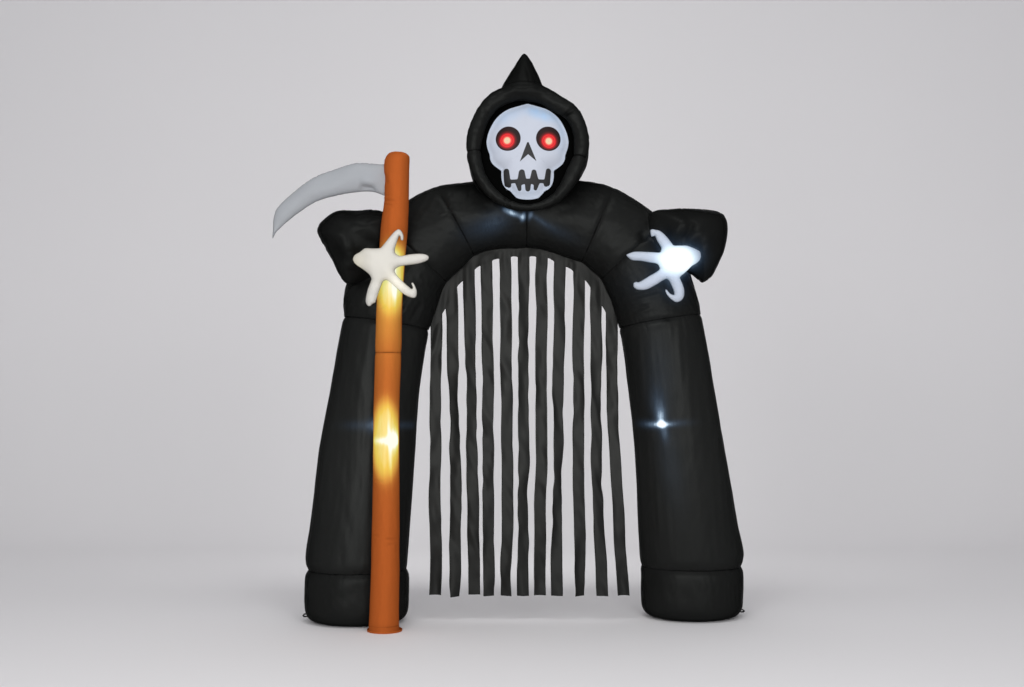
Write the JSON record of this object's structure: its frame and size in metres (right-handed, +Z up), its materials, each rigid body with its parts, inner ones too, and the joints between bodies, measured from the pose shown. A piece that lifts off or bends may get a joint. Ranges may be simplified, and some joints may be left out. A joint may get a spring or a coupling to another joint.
{
  "type": "inflatable arch",
  "caption": "Inflatable walk-through arch with a hooded skull over the doorway, sleeved hands at its shoulders, a scythe at one side and a hanging strip curtain.",
  "frame": {"origin": "on the floor, under the middle of the arch's overall bounding box", "axes": "+Z up, -Y towards the side that the skull faces, +X to the right as seen from that side"},
  "size_m": [2.3007, 0.7934, 2.742],
  "materials": {
    "black_cloth": "satin coated nylon",
    "curtain_cloth": "satin coated nylon",
    "skull_cloth": "printed satin nylon, lit from inside",
    "hand_cloth": "satin nylon, lit from inside",
    "pole_cloth": "satin nylon, lit from inside",
    "blade_cloth": "satin nylon",
    "webbing": "woven tape"
  },
  "bodies": {
    "root": {"left_foot": "black_cloth", "right_foot": "black_cloth", "left_leg": "black_cloth", "right_leg": "black_cloth", "haunch_left": "black_cloth", "shoulder_left": "black_cloth", "crown_left": "black_cloth", "crown_right": "black_cloth", "shoulder_right": "black_cloth", "haunch_right": "black_cloth", "hood_ring_upper": "black_cloth", "hood_ring_lower": "black_cloth", "hood_back": "black_cloth", "hood_peak": "black_cloth", "skull": "skull_cloth", "left_sleeve": "black_cloth", "right_sleeve": "black_cloth", "left_hand": "hand_cloth", "right_hand": "hand_cloth", "scythe_pole_lower": "pole_cloth", "scythe_pole_upper": "pole_cloth", "scythe_pole_cap": "pole_cloth", "scythe_blade": "blade_cloth", "strip_curtain": "curtain_cloth", "tether_loop_left": "webbing", "tether_loop_right": "webbing"}
  },
  "joints": []
}
